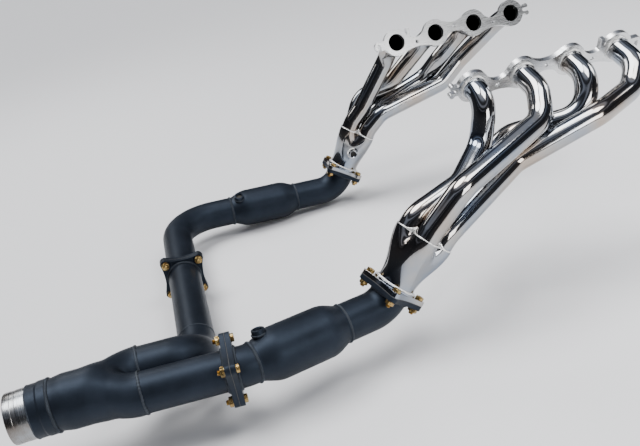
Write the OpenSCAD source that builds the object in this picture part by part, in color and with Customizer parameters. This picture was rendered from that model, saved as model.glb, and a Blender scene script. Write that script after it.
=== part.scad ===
// Long-tube exhaust headers with catalytic pipes and a Y pipe for a V8 engine.
// +Y points forward, +X to the engine's right and +Z up. The origin is on the engine's
// centre plane, level with the exhaust port centres and in line with the right bank's rear port.

/* [Engine] */
// Distance between neighbouring exhaust ports (bore pitch)
port_pitch = 111.76; // [111:0.01:112.5]
// Distance from the engine's centre plane to a port's centre
half_span = 230; // [228:1:232]
// How far the left bank sits ahead of the right bank
bank_offset = 28; // [26:1:30]
// Tilt of the port faces from upright, in degrees
port_tilt = 20; // [19:0.5:21]

/* [Head flange] */
// Thickness of the flange plate
head_plate = 12; // [9:0.5:13]
// Radius of the lobe around each port
lobe_r = 35; // [33:0.5:36]
// Radius of each port hole
port_r = 22; // [20:0.5:22.2]
// Radius of each head bolt hole
head_bolt_r = 4.5; // [4:0.1:5]

/* [Primary tubes] */
// Outside diameter of a primary tube
primary_od = 47.6; // [46:0.1:47.8]
// Wall thickness of a primary tube
primary_wall = 1.65; // [1.2:0.05:2]
// Bend radius of a primary tube's centreline
primary_bend = 60; // [58:1:62]

/* [Collectors] */
// Distance from a collector's axis to each socket's axis
socket_spread = 34.5; // [34.4:0.1:35]
// Length from the sockets' seats to the collector's neck end
collector_len = 96; // [94:1:105]
// Depth of each socket cup around its tube
cup_depth = 10; // [8:0.5:11]

/* [Pipes and flanges] */
// Outside diameter of the main exhaust pipe
pipe_od = 76.2; // [75:0.1:77]
// Wall thickness of pipes and formed shells
pipe_wall = 1.6; // [1.4:0.1:2]
// Thickness of a pipe flange
flange_t = 9.5; // [8:0.5:10]
// Thickness of a pipe gasket
gasket_t = 1; // [0.8:0.1:1.5]
// Distance from a pipe flange's axis to each bolt
bolt_circle_r = 55; // [54.5:0.1:56]

/* [Catalytic converters] */
// Outside diameter of a converter's body
cat_od = 101.6; // [98:0.1:104]
// Length of a converter's round body
cat_len = 118; // [110:1:120]

/* [Outlet] */
// Inside diameter of the outlet sleeve
sleeve_id = 89.2; // [88.9:0.1:89.6]
// Length of the outlet sleeve
sleeve_len = 38; // [30:1:45]

/* [Hidden] */

// Index of each bank in the lists below
LEFT = 0;
RIGHT = 1;
side = [-1, 1];
bank_y = [bank_offset, 0];

// Collectors: centre of the neck's end, direction of flow, and turn of the sockets
neck_end = [[-330, -146, -336], [400, -278, -292]];
flow = [unit([0, -0.56, -0.83]), unit([0.07, -0.69, -0.72])];
socket_turn = [[160, 250, 340, 70], [209, 119, 299, 29]];
neck_bolt_turn = [53, 29];
header_bung_turn = [100, 280];
header_bung_back = 50;

// Primary tubes: straight length at the port, straight length at the socket, and
// the corners between them. A tube is numbered from the rear port forwards.
port_lead = [[45, 58, 59, 52], [50, 60, 58, 66]];
socket_lead = [[35, 38, 35, 32], [39, 30, 48, 36]];
corners = [
    [
        [[-314, 23, -58], [-315, -70, -179]],
        [[-330, 34, -131], [-381, -50, -168]],
        [[-314, 179, -94], [-349, 144, -148], [-359, -14, -204]],
        [[-310, 234, -117], [-303, 174, -163], [-297, -22, -201]]
    ],
    [
        [[301, -25, -104], [360, -102, -144]],
        [[342, 90, -69], [420, -128, -123]],
        [[330, 200, -91], [260, 55, -120], [256, -50, -232]],
        [[330, 305, -65], [371, 200, -80], [343, 26, -141]]
    ]
];

// Catalytic pipes: distance from the neck to the first corner, the second corner,
// bend radii, and where the converter and the rear joint sit along the pipe
first_corner = [74, 54];
second_corner = [[-330, -656, -364], [463, -598, -317]];
first_bend = [72, 60];
second_bend = [114, 76];
cat_start = [118, 88];
joint_dir = [unit([1, -0.033, 0]), unit([-14, -160, 3])];
joint_at = [305, 28];
joint_bolt_turn = [40, 36];
cat_front_cone = 34;
cat_rear_cone = 36;
cat_bung_turn = [155, 195];

// Y pipe
seam_y = -787;
crossover_at = 592;
crossover_end = second_corner[LEFT] + crossover_at * joint_dir[LEFT];
elbow_corners = [crossover_end + 54 * joint_dir[LEFT], [369, -698, -330]];
elbow_mouth = [362.4, seam_y - 6, -322];
elbow_od = 88.9;
elbow_bend = 60;
reducer_len = 20;
inlet_mouth_at = 196;
merge_neck = [425, -884, -297];
merge_neck_r = 51;
outlet = [425, -936, -294];
stub_r = 48;
stub_len = 36;
sleeve_wall = 1.6;

// Fasteners, M10
bolt_r = 4.95;
bolt_hole_r = 5.25;
hex_af = 17;
head_t = 6.5;
nut_t = 8;
bolt_past_nut = 5;

// Oxygen sensor bosses, M18 x 1.5
bung_r = 13;
bung_thread_r = 8.2;
bung_h = 14;

primary_r = primary_od / 2;
pipe_r = pipe_od / 2;
pipe_in = pipe_r - pipe_wall;
cat_r = cat_od / 2;
cat_mat_t = 4;
cat_wall = 1.5;
ring_t = 4;
ring_r = 44.5;
lobe_tip_r = 12.5;
lobe_waist = 7.5;
joint_t = 2 * flange_t + gasket_t;
bank_mid = 1.5 * port_pitch;
elbow_r = elbow_od / 2;
sleeve_r = sleeve_id / 2 + sleeve_wall;

function unit(v) = v / norm(v);
function turn(u, v) = acos(max(-1, min(1, u * v)));
// Level direction square to d, and the direction that completes the frame with d
function level(d) = unit([-d[1], d[0], 0]);
function drop(d) = cross(level(d), d);
function around(d, a) = cos(a) * drop(d) + sin(a) * level(d);
// Radius of the arc that just touches two lobes of radius r, centred q to each side,
// and passes h above the line between them
function waist_r(q, h, r) = (q * q + h * h - r * r) / (2 * (r - h));

// Exhaust port k of bank b, counted from 0 at the rear, and the way its gas leaves
function port(b, k) = [side[b] * half_span, bank_y[b] + k * port_pitch, 0];
function port_out(b) = [side[b] * cos(port_tilt), 0, -sin(port_tilt)];
function socket(b, k) = neck_end[b] - collector_len * flow[b]
    + socket_spread * around(flow[b], socket_turn[b][k]);
function tube_route(b, k) = let(p = port(b, k) + head_plate * port_out(b), s = socket(b, k))
    concat([p, p + port_lead[b][k] * port_out(b)], corners[b][k],
           [s - socket_lead[b][k] * flow[b], s]);
function corner_a(b) = neck_end[b] + first_corner[b] * flow[b];
function cat_dir(b) = unit(second_corner[b] - corner_a(b));
function joint(b) = second_corner[b] + joint_at[b] * joint_dir[b];

// Children with their +Z along d and their +Y level
module along(p, d) {
    translate(p) rotate([0, acos(d[2]), atan2(d[1], d[0])]) children();
}

// Head flange frame: +X along the bank from hook to fishtail, +Y up, +Z towards the engine
module on_head(b) {
    s = sin(port_tilt);
    c = cos(port_tilt);
    g = side[b];
    multmatrix([[0, g * s, -g * c, g * half_span],
                [-g, 0, 0, bank_y[b] + bank_mid],
                [0, c, s, 0],
                [0, 0, 0, 1]]) children();
}

module line(p, q, r) {
    d = q - p;
    translate(p) rotate([0, acos(d[2] / norm(d)), atan2(d[1], d[0])])
        cylinder(r = r, h = norm(d), $fn = 48);
}

// Bend at corner p from direction u to direction v. Its section is a hair fuller than the
// straights', so that the two always meet.
module bend(p, u, v, big, r) {
    t = turn(u, v);
    w = unit(v - (u * v) * u);
    c = p - big * tan(t / 2) * u + big * w;
    n = cross(-w, u);
    multmatrix([[-w[0], u[0], n[0], c[0]], [-w[1], u[1], n[1], c[1]],
                [-w[2], u[2], n[2], c[2]], [0, 0, 0, 1]])
        rotate_extrude(angle = t, $fn = 96) translate([big, 0]) circle(r = r + 0.25, $fn = 48);
}

function cut(p, i, big) = i == 0 || i == len(p) - 1 ? 0
    : big * tan(turn(unit(p[i] - p[i-1]), unit(p[i+1] - p[i])) / 2);

// Solid round bar along the points p, with bends of radius big at the corners
module route(p, big, r) {
    for (i = [0 : len(p) - 2]) {
        d = unit(p[i+1] - p[i]);
        line(p[i] + (cut(p, i, big) - (i > 0 ? 1 : 0)) * d,
             p[i+1] - (cut(p, i+1, big) - (i < len(p) - 2 ? 1 : 0)) * d, r);
    }
    if (len(p) > 2)
        for (i = [1 : len(p) - 2])
            bend(p[i], unit(p[i] - p[i-1]), unit(p[i+1] - p[i]), big, r);
}

module pipe(p, big, r, wall) {
    difference() {
        route(p, big, r);
        route(p, big, r - wall);
    }
}

// Weld bead in the corner between a pipe of radius r and a plate at z = 0
module fillet_bead(r, size = 3.5) {
    rotate_extrude($fn = 96)
        polygon([[r, 0], [r + size, 0], [r + 0.8 * size, 0.45 * size],
                 [r + 0.4 * size, 0.85 * size], [r, size]]);
}

// Low weld bead around a pipe of radius r, centred on z = 0
module butt_bead(r) {
    rotate_extrude($fn = 96)
        polygon([[r, -3.5], [r + 1.4, -2], [r + 2, 0], [r + 1.4, 2], [r, 3.5]]);
}

// Bar between two lobes, necked by arcs that run into both lobes
module necked_bar(q, up, down, r, t) {
    big_up = waist_r(q, up, r);
    big_down = waist_r(q, down, r);
    difference() {
        translate([-q, -0.93 * r, 0]) cube([2 * q, 1.86 * r, t]);
        translate([0, up + big_up, -1]) cylinder(r = big_up + 0.3, h = t + 2, $fn = 180);
        translate([0, -down - big_down, -1]) cylinder(r = big_down + 0.3, h = t + 2, $fn = 180);
        for (s = [-1, 1])
            translate([-q, s > 0 ? r * (up + big_up) / (r + big_up)
                                 : -r * (down + big_down) / (r + big_down) - r, -1])
                cube([2 * q, r, t + 2]);
    }
}

module head_flange(b) {
    bolts = [[-port_pitch, -10.5], [0, 4.5], [port_pitch, -10.5]];
    neck = 12.5;
    slot_w = 2 * head_bolt_r;
    hook_x = -bank_mid - 49;
    tail_x = bank_mid + 46.5;
    color("gainsboro") on_head(b) translate([0, 0, -head_plate]) difference() {
        union() {
            for (k = [0 : 3])
                translate([(k - 1.5) * port_pitch, 0, 0]) cylinder(r = lobe_r, h = head_plate, $fn = 96);
            for (h = bolts)
                translate([h[0], 0, 0])
                    necked_bar(port_pitch / 2, neck + h[1], neck - h[1], lobe_r, head_plate);
            // Locating tab
            translate([-bank_mid + 33, 0, 0]) cube([9, 30, head_plate]);
            // Hook and fishtail arms
            translate([hook_x, -12, 0]) cube([49, 24, head_plate]);
            translate([hook_x, 0, 0]) cylinder(r = 12, h = head_plate, $fn = 64);
            translate([bank_mid, -11, 0]) cube([tail_x - bank_mid, 22, head_plate]);
            for (s = [-1, 1])
                translate([tail_x, s * 9.5, 0]) cylinder(r = 6, h = head_plate, $fn = 48);
        }
        for (k = [0 : 3])
            translate([(k - 1.5) * port_pitch, 0, -1]) cylinder(r = port_r, h = head_plate + 2, $fn = 96);
        for (h = bolts)
            translate([h[0], h[1], -1]) cylinder(r = head_bolt_r, h = head_plate + 2, $fn = 48);
        translate([hook_x, 0, -1]) cylinder(r = head_bolt_r, h = head_plate + 2, $fn = 48);
        translate([hook_x - head_bolt_r, -20, -1]) cube([slot_w, 20, head_plate + 2]);
        translate([tail_x - 7, 0, -1]) cylinder(r = head_bolt_r, h = head_plate + 2, $fn = 48);
        translate([tail_x - 7, -head_bolt_r, -1]) cube([20, slot_w, head_plate + 2]);
    }
}

module primary_tube(b, k) {
    color("silver") pipe(tube_route(b, k - 1), primary_bend, primary_r, primary_wall);
}

module port_welds(b) {
    color("whitesmoke") for (k = [0 : 3])
        along(port(b, k) + head_plate * port_out(b), port_out(b)) fillet_bead(primary_r, 4);
}

// Collector frame: +Z along the flow, z = 0 at the neck's end
module in_sockets(b, z, h, r) {
    for (k = [0 : 3])
        rotate(socket_turn[b][k]) translate([socket_spread, 0, z]) cylinder(r = r, h = h, $fn = 48);
}

module collector_form(b, r, neck_r, z) {
    hull() {
        for (k = [0 : 3])
            rotate(socket_turn[b][k]) translate([socket_spread, 0, z])
                cylinder(r = r, h = 1, $fn = 32);
        translate([0, 0, -12]) cylinder(r = neck_r, h = 1, $fn = 32);
    }
}

module bung_place(turned, out, z) {
    rotate(turned) translate([out, 0, z]) rotate([0, 90, 0]) children();
}

module merge_collector(b) {
    cup_r = primary_r + 1.8;
    color("silver") along(neck_end[b], flow[b]) difference() {
        union() {
            collector_form(b, cup_r + 0.8, pipe_r + 0.8, -collector_len);
            in_sockets(b, -collector_len - cup_depth, cup_depth + 0.5, cup_r);
            translate([0, 0, -11.5]) cylinder(r = pipe_r, h = 11.5, $fn = 96);
        }
        collector_form(b, cup_r + 0.8 - pipe_wall, pipe_in - 0.8, -collector_len + 2);
        translate([0, 0, -13]) cylinder(r = pipe_in, h = 15, $fn = 96);
        in_sockets(b, -collector_len - 1, 4, primary_r - primary_wall);
        in_sockets(b, -collector_len - cup_depth - 1, cup_depth + 1, primary_r + 0.1);
        bung_place(header_bung_turn[b], 20, -header_bung_back) cylinder(r = bung_r, h = 60, $fn = 64);
    }
}

module collector_weld(b) {
    top = -collector_len - cup_depth;
    color("whitesmoke") along(neck_end[b], flow[b]) difference() {
        for (k = [0 : 3])
            rotate(socket_turn[b][k]) translate([socket_spread, 0, top - 2])
                cylinder(r1 = primary_r + 1, r2 = primary_r + 1.8, h = 2, $fn = 48);
        in_sockets(b, top - 3, 6, primary_r + 0.05);
    }
}

module bung() {
    difference() {
        cylinder(r = bung_r, h = bung_h, $fn = 64);
        translate([0, 0, -1]) cylinder(r = bung_thread_r, h = bung_h + 2, $fn = 48);
    }
}

module header_o2_bung(b) {
    color("silver") along(neck_end[b], flow[b]) bung_place(header_bung_turn[b], 42, -header_bung_back) bung();
}

// Four-lobed plate with necked sides, from z = 0 to z = t
module lobed_plate(t, hole_r, turned) {
    q = bolt_circle_r / sqrt(2);
    waist = waist_r(q, lobe_waist, lobe_tip_r);
    difference() {
        intersection() {
            cylinder(r = bolt_circle_r + 2 * lobe_tip_r, h = t, $fn = 96);
            rotate(turned + 45) translate([0, 0, -1]) union() {
                for (a = [0, 90])
                    rotate(a) translate([-q, -q - 0.93 * lobe_tip_r, 0])
                        cube([2 * q, 2 * q + 1.86 * lobe_tip_r, t + 2]);
                for (a = [45 : 90 : 315])
                    rotate(a) translate([bolt_circle_r, 0, 0])
                        cylinder(r = lobe_tip_r, h = t + 2, $fn = 48);
            }
        }
        rotate(turned + 45) for (a = [0 : 90 : 270]) {
            rotate(a) translate([q + lobe_waist + waist, 0, -1])
                cylinder(r = waist + 1, h = t + 2, $fn = 180);
            rotate(a + 45) translate([bolt_circle_r, 0, -1])
                cylinder(r = bolt_hole_r, h = t + 2, $fn = 48);
        }
        translate([0, 0, -1]) cylinder(r = hole_r, h = t + 2, $fn = 96);
    }
}

module joint_bolts(grip, turned) {
    for (a = [0 : 90 : 270])
        rotate(turned + a) translate([bolt_circle_r, 0, 0]) {
            translate([0, 0, -head_t]) cylinder(d = hex_af / cos(30), h = head_t, $fn = 6);
            translate([0, 0, -1]) cylinder(r = bolt_r, h = grip + nut_t + bolt_past_nut + 1, $fn = 48);
        }
}

module joint_nuts(grip, turned) {
    for (a = [0 : 90 : 270])
        rotate(turned + a) translate([bolt_circle_r, 0, grip]) difference() {
            cylinder(d = hex_af / cos(30), h = nut_t, $fn = 6);
            translate([0, 0, -1]) cylinder(r = bolt_r + 0.05, h = nut_t + 2, $fn = 48);
        }
}

module collector_flange(b) {
    color("silver") along(neck_end[b], flow[b]) {
        difference() {
            cylinder(r = ring_r, h = ring_t + 0.5, $fn = 96);
            translate([0, 0, -1]) cylinder(r = pipe_in, h = ring_t + 2, $fn = 96);
        }
        translate([0, 0, ring_t]) lobed_plate(flange_t, pipe_in, neck_bolt_turn[b]);
    }
}

module header_gasket(b) {
    color("dimgray") along(neck_end[b] + (ring_t + flange_t) * flow[b], flow[b])
        lobed_plate(gasket_t, pipe_in, neck_bolt_turn[b]);
}

module header_bolts(b) {
    color("goldenrod") along(neck_end[b] + ring_t * flow[b], flow[b])
        joint_bolts(joint_t, neck_bolt_turn[b]);
}

module header_nuts(b) {
    color("goldenrod") along(neck_end[b] + ring_t * flow[b], flow[b])
        joint_nuts(joint_t, neck_bolt_turn[b]);
}

module cat_inlet_flange(b) {
    color("darkslategray") along(neck_end[b] + (ring_t + flange_t + gasket_t) * flow[b], flow[b])
        lobed_plate(flange_t, pipe_in, neck_bolt_turn[b]);
}

module cat_inlet_pipe(b) {
    color("darkslategray")
        pipe([neck_end[b] + (ring_t + joint_t) * flow[b], corner_a(b),
              corner_a(b) + cat_start[b] * cat_dir(b)], first_bend[b], pipe_r, pipe_wall);
}

// Converter frame: +Z along the flow, z = 0 where the front cone starts
module in_cat(b) {
    along(corner_a(b) + cat_start[b] * cat_dir(b), cat_dir(b)) children();
}

module cat_bung_place(b) {
    bung_place(cat_bung_turn[b], 0, cat_front_cone + cat_len + cat_rear_cone / 2 - 6) children();
}

module cat_shell(b) {
    z1 = cat_front_cone;
    z2 = z1 + cat_len;
    z3 = z2 + cat_rear_cone;
    color("darkslategray") in_cat(b) difference() {
        rotate_extrude($fn = 96)
            polygon([[pipe_in, 0], [pipe_r, 0], [cat_r, z1], [cat_r, z2], [pipe_r, z3],
                     [pipe_in, z3], [cat_r - cat_wall, z2], [cat_r - cat_wall, z1]]);
        cat_bung_place(b) cylinder(r = bung_r, h = 80, $fn = 64);
    }
}

module cat_substrate(b) {
    color("burlywood") in_cat(b) translate([0, 0, cat_front_cone + 5])
        cylinder(r = cat_r - cat_wall - cat_mat_t, h = cat_len - 10, $fn = 96);
}

module cat_mat(b) {
    color("lightgray") in_cat(b) translate([0, 0, cat_front_cone + 9]) difference() {
        cylinder(r = cat_r - cat_wall, h = cat_len - 18, $fn = 96);
        translate([0, 0, -1]) cylinder(r = cat_r - cat_wall - cat_mat_t, h = cat_len, $fn = 96);
    }
}

module cat_o2_bung(b) {
    color("darkslategray") in_cat(b) cat_bung_place(b) translate([0, 0, cat_r - 8]) bung();
}

module cat_outlet_pipe(b) {
    from = cat_start[b] + cat_front_cone + cat_len + cat_rear_cone;
    color("darkslategray")
        pipe([corner_a(b) + from * cat_dir(b), second_corner[b],
              joint(b) - (gasket_t / 2 + flange_t) * joint_dir[b]], second_bend[b], pipe_r, pipe_wall);
}

module cat_outlet_flange(b) {
    color("darkslategray") along(joint(b) - (gasket_t / 2 + flange_t) * joint_dir[b], joint_dir[b])
        lobed_plate(flange_t, pipe_in, joint_bolt_turn[b]);
}

module cat_welds(b) {
    color("slategray") {
        along(neck_end[b] + (ring_t + joint_t) * flow[b], flow[b]) fillet_bead(pipe_r);
        in_cat(b) translate([0, 0, -3.5]) butt_bead(pipe_r);
        in_cat(b) translate([0, 0, cat_front_cone + cat_len + cat_rear_cone + 3.5]) butt_bead(pipe_r);
        along(joint(b) - (gasket_t / 2 + flange_t) * joint_dir[b], -joint_dir[b]) fillet_bead(pipe_r);
    }
}

module y_gasket(b) {
    color("dimgray") along(joint(b) - gasket_t / 2 * joint_dir[b], joint_dir[b])
        lobed_plate(gasket_t, pipe_in, joint_bolt_turn[b]);
}

module y_bolts(b) {
    color("goldenrod") along(joint(b) - joint_t / 2 * joint_dir[b], joint_dir[b])
        joint_bolts(joint_t, joint_bolt_turn[b]);
}

module y_nuts(b) {
    color("goldenrod") along(joint(b) - joint_t / 2 * joint_dir[b], joint_dir[b])
        joint_nuts(joint_t, joint_bolt_turn[b]);
}

module y_inlet_flange(b) {
    color("darkslategray") along(joint(b) + gasket_t / 2 * joint_dir[b], joint_dir[b])
        lobed_plate(flange_t, pipe_in, joint_bolt_turn[b]);
}

module crossover_pipe() {
    from = joint(LEFT) + (gasket_t / 2 + flange_t) * joint_dir[LEFT];
    len = norm(crossover_end - from);
    color("darkslategray") along(from, joint_dir[LEFT]) difference() {
        cylinder(r = pipe_r, h = len, $fn = 48);
        translate([0, 0, -1]) cylinder(r = pipe_in, h = len + 2, $fn = 48);
    }
}

// Everything behind the seam plane
module behind_seam() {
    translate([0, seam_y - 100, -450]) cube([700, 100, 300]);
}

function elbow_route() = concat([crossover_end + (reducer_len - 1) * joint_dir[LEFT]], elbow_corners,
                                [elbow_mouth]);
function inlet_route() = [joint(RIGHT) + (gasket_t / 2 + flange_t) * joint_dir[RIGHT],
                          second_corner[RIGHT] + inlet_mouth_at * joint_dir[RIGHT]];
function inlet_at_seam() = let(p = joint(RIGHT), d = joint_dir[RIGHT]) p + (seam_y - p[1]) / d[1] * d;

module crossover_elbow() {
    color("darkslategray") difference() {
        union() {
            pipe(elbow_route(), elbow_bend, elbow_r, pipe_wall);
            along(crossover_end, joint_dir[LEFT]) rotate_extrude($fn = 96)
                polygon([
                    [pipe_in, 0], [pipe_r, 0],
                    [elbow_r - 0.4, reducer_len], [elbow_r - pipe_wall + 0.4, reducer_len]
                ]);
        }
        behind_seam();
    }
}

module right_inlet_pipe() {
    color("darkslategray") difference() {
        pipe(inlet_route(), pipe_od, pipe_r, pipe_wall);
        behind_seam();
    }
}

module merge_form(elbow_side_r, inlet_side_r, neck_r, lead) {
    seam = inlet_at_seam();
    hull() {
        translate([elbow_mouth[0], seam_y - lead, elbow_mouth[2]]) rotate([90, 0, 0])
            cylinder(r = elbow_side_r, h = 1, $fn = 40);
        translate([seam[0], seam_y - lead, seam[2]]) rotate([90, 0, 0])
            cylinder(r = inlet_side_r, h = 1, $fn = 40);
        translate(merge_neck) rotate([90, 0, 0]) cylinder(r = neck_r, h = 1, $fn = 40);
    }
}

module merge_tail(neck_r, end_r, over) {
    d = outlet - merge_neck;
    translate(merge_neck - over * unit(d)) rotate([90 + atan2(d[2], -d[1]), 0, 0])
        cylinder(r1 = neck_r, r2 = end_r, h = norm(d) + over, $fn = 96);
}

module y_merge() {
    seam = inlet_at_seam();
    color("darkslategray") difference() {
        union() {
            merge_form(elbow_r + 2, pipe_r + 2, merge_neck_r, 0);
            merge_tail(merge_neck_r, stub_r, 1);
        }
        merge_form(elbow_r + 2 - pipe_wall, pipe_r + 2 - pipe_wall, merge_neck_r - pipe_wall, 2);
        merge_tail(merge_neck_r - pipe_wall, stub_r - pipe_wall, 1);
        translate(outlet + [0, 0.5, 0]) rotate([90, 0, 0]) cylinder(r = stub_r + 20, h = 20);
        translate([elbow_mouth[0], seam_y + 1, elbow_mouth[2]]) rotate([90, 0, 0])
            cylinder(r = elbow_r - pipe_wall, h = 5, $fn = 96);
        translate([seam[0], seam_y + 1, seam[2]]) rotate([90, 0, 0])
            cylinder(r = pipe_in - 1, h = 5, $fn = 96);
    }
}

module outlet_stub() {
    color("darkslategray") translate(outlet + [0, 0.5, 0]) rotate([90, 0, 0]) difference() {
        union() {
            cylinder(r = stub_r + 1.5, h = stub_len / 2, $fn = 96);
            cylinder(r = stub_r, h = stub_len, $fn = 96);
        }
        translate([0, 0, -1]) cylinder(r = sleeve_id / 2, h = stub_len + 2, $fn = 96);
    }
}

module outlet_sleeve() {
    color("lightsteelblue") translate(outlet - [0, stub_len - 0.5, 0]) rotate([90, 0, 0]) difference() {
        cylinder(r = sleeve_r, h = sleeve_len, $fn = 96);
        translate([0, 0, -1]) cylinder(r = sleeve_id / 2, h = sleeve_len + 2, $fn = 96);
    }
}

module y_pipe_welds() {
    seam = inlet_at_seam();
    color("slategray") {
        along(joint(LEFT) + (gasket_t / 2 + flange_t) * joint_dir[LEFT], joint_dir[LEFT]) fillet_bead(pipe_r);
        along(crossover_end - 3.5 * joint_dir[LEFT], joint_dir[LEFT]) butt_bead(pipe_r);
        along(joint(RIGHT) + (gasket_t / 2 + flange_t) * joint_dir[RIGHT], joint_dir[RIGHT])
            fillet_bead(pipe_r);
        translate(outlet + [0, 0.5 - stub_len, 0]) rotate([90, 0, 0]) fillet_bead(sleeve_r, 2);
        difference() {
            union() {
                translate([elbow_mouth[0], seam_y + 2, elbow_mouth[2]]) rotate([90, 0, 0])
                    cylinder(r = elbow_r + 2, h = 2, $fn = 96);
                translate([seam[0], seam_y + 2, seam[2]]) rotate([90, 0, 0])
                    cylinder(r = pipe_r + 2, h = 2, $fn = 96);
            }
            route(elbow_route(), elbow_bend, elbow_r);
            route(inlet_route(), pipe_od, pipe_r);
        }
    }
}

head_flange(LEFT);  // left_head_flange
primary_tube(LEFT, 1);  // left_primary_tube_1
primary_tube(LEFT, 2);  // left_primary_tube_2
primary_tube(LEFT, 3);  // left_primary_tube_3
primary_tube(LEFT, 4);  // left_primary_tube_4
port_welds(LEFT);  // left_port_welds
merge_collector(LEFT);  // left_merge_collector
collector_weld(LEFT);  // left_collector_weld
collector_flange(LEFT);  // left_collector_flange
header_o2_bung(LEFT);  // left_header_o2_bung
header_gasket(LEFT);  // left_header_gasket
header_bolts(LEFT);  // left_header_bolts
header_nuts(LEFT);  // left_header_nuts
head_flange(RIGHT);  // right_head_flange
primary_tube(RIGHT, 1);  // right_primary_tube_1
primary_tube(RIGHT, 2);  // right_primary_tube_2
primary_tube(RIGHT, 3);  // right_primary_tube_3
primary_tube(RIGHT, 4);  // right_primary_tube_4
port_welds(RIGHT);  // right_port_welds
merge_collector(RIGHT);  // right_merge_collector
collector_weld(RIGHT);  // right_collector_weld
collector_flange(RIGHT);  // right_collector_flange
header_o2_bung(RIGHT);  // right_header_o2_bung
header_gasket(RIGHT);  // right_header_gasket
header_bolts(RIGHT);  // right_header_bolts
header_nuts(RIGHT);  // right_header_nuts
cat_inlet_flange(LEFT);  // left_cat_inlet_flange
cat_inlet_pipe(LEFT);  // left_cat_inlet_pipe
cat_shell(LEFT);  // left_cat_shell
cat_substrate(LEFT);  // left_cat_substrate
cat_mat(LEFT);  // left_cat_mat
cat_o2_bung(LEFT);  // left_cat_o2_bung
cat_outlet_pipe(LEFT);  // left_cat_outlet_pipe
cat_outlet_flange(LEFT);  // left_cat_outlet_flange
cat_welds(LEFT);  // left_cat_welds
cat_inlet_flange(RIGHT);  // right_cat_inlet_flange
cat_inlet_pipe(RIGHT);  // right_cat_inlet_pipe
cat_shell(RIGHT);  // right_cat_shell
cat_substrate(RIGHT);  // right_cat_substrate
cat_mat(RIGHT);  // right_cat_mat
cat_o2_bung(RIGHT);  // right_cat_o2_bung
cat_outlet_pipe(RIGHT);  // right_cat_outlet_pipe
cat_outlet_flange(RIGHT);  // right_cat_outlet_flange
cat_welds(RIGHT);  // right_cat_welds
y_gasket(LEFT);  // left_y_gasket
y_bolts(LEFT);  // left_y_bolts
y_nuts(LEFT);  // left_y_nuts
y_gasket(RIGHT);  // right_y_gasket
y_bolts(RIGHT);  // right_y_bolts
y_nuts(RIGHT);  // right_y_nuts
y_inlet_flange(LEFT);  // crossover_inlet_flange
crossover_pipe();
crossover_elbow();
y_inlet_flange(RIGHT);  // right_inlet_flange
right_inlet_pipe();
y_merge();
outlet_stub();
outlet_sleeve();
y_pipe_welds();
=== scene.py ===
from math import ceil, cos, pi, radians, sin, sqrt, tan

import bmesh
import bpy
from mathutils import Matrix, Vector, noise


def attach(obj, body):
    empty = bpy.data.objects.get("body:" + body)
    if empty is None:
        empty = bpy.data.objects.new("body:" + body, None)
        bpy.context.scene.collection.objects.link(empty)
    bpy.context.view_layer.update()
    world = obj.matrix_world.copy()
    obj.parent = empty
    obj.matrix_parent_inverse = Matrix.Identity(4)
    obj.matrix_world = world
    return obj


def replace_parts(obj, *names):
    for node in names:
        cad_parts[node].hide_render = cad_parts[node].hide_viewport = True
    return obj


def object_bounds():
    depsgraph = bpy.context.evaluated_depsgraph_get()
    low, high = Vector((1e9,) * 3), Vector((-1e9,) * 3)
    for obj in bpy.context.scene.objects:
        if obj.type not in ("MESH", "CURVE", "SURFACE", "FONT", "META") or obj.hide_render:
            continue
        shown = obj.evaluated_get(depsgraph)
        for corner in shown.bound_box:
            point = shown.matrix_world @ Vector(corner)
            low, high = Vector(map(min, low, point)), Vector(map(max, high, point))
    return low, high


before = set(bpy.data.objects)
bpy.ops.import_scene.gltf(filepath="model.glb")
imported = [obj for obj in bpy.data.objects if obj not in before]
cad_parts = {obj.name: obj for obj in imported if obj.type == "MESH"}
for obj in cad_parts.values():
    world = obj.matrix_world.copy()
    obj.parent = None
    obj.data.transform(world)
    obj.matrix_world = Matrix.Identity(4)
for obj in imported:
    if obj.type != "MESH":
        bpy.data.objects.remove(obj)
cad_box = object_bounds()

# Driving dimensions in millimetres, the same as the CAD model's.
MM = 0.001
PITCH = 111.76
HALF_SPAN = 230
BANK_Y = {"left": 28, "right": 0}
SIDE = {"left": -1, "right": 1}
TILT = radians(20)
PLATE = 12
TUBE_R, TUBE_WALL, TUBE_BEND = 23.8, 1.65, 60
SPREAD, COLLECTOR_LEN, CUP, NECK_Z = 34.5, 96, 10, -6
PIPE_R, WALL = 38.1, 1.6
FLANGE, GASKET, RING = 9.5, 1, 4
BOLT_CIRCLE = 55
NUT_H = 8
CAT_R, CAT_LEN, CAT_FRONT, CAT_REAR = 50.8, 118, 34, 36
BUNG_R, BUNG_H, BUNG_THREAD_R, BUNG_BACK = 13, 14, 8.2, 50
SEAM_Y = -787
ELBOW_R, ELBOW_BEND = 44.45, 46
STUB_R, STUB_LEN = 48, 36
SLEEVE_IN, SLEEVE_WALL, SLEEVE_LEN = 44.6, 1.6, 38
JOINT = 2 * FLANGE + GASKET


def unit(*v):
    return Vector(v).normalized()


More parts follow.
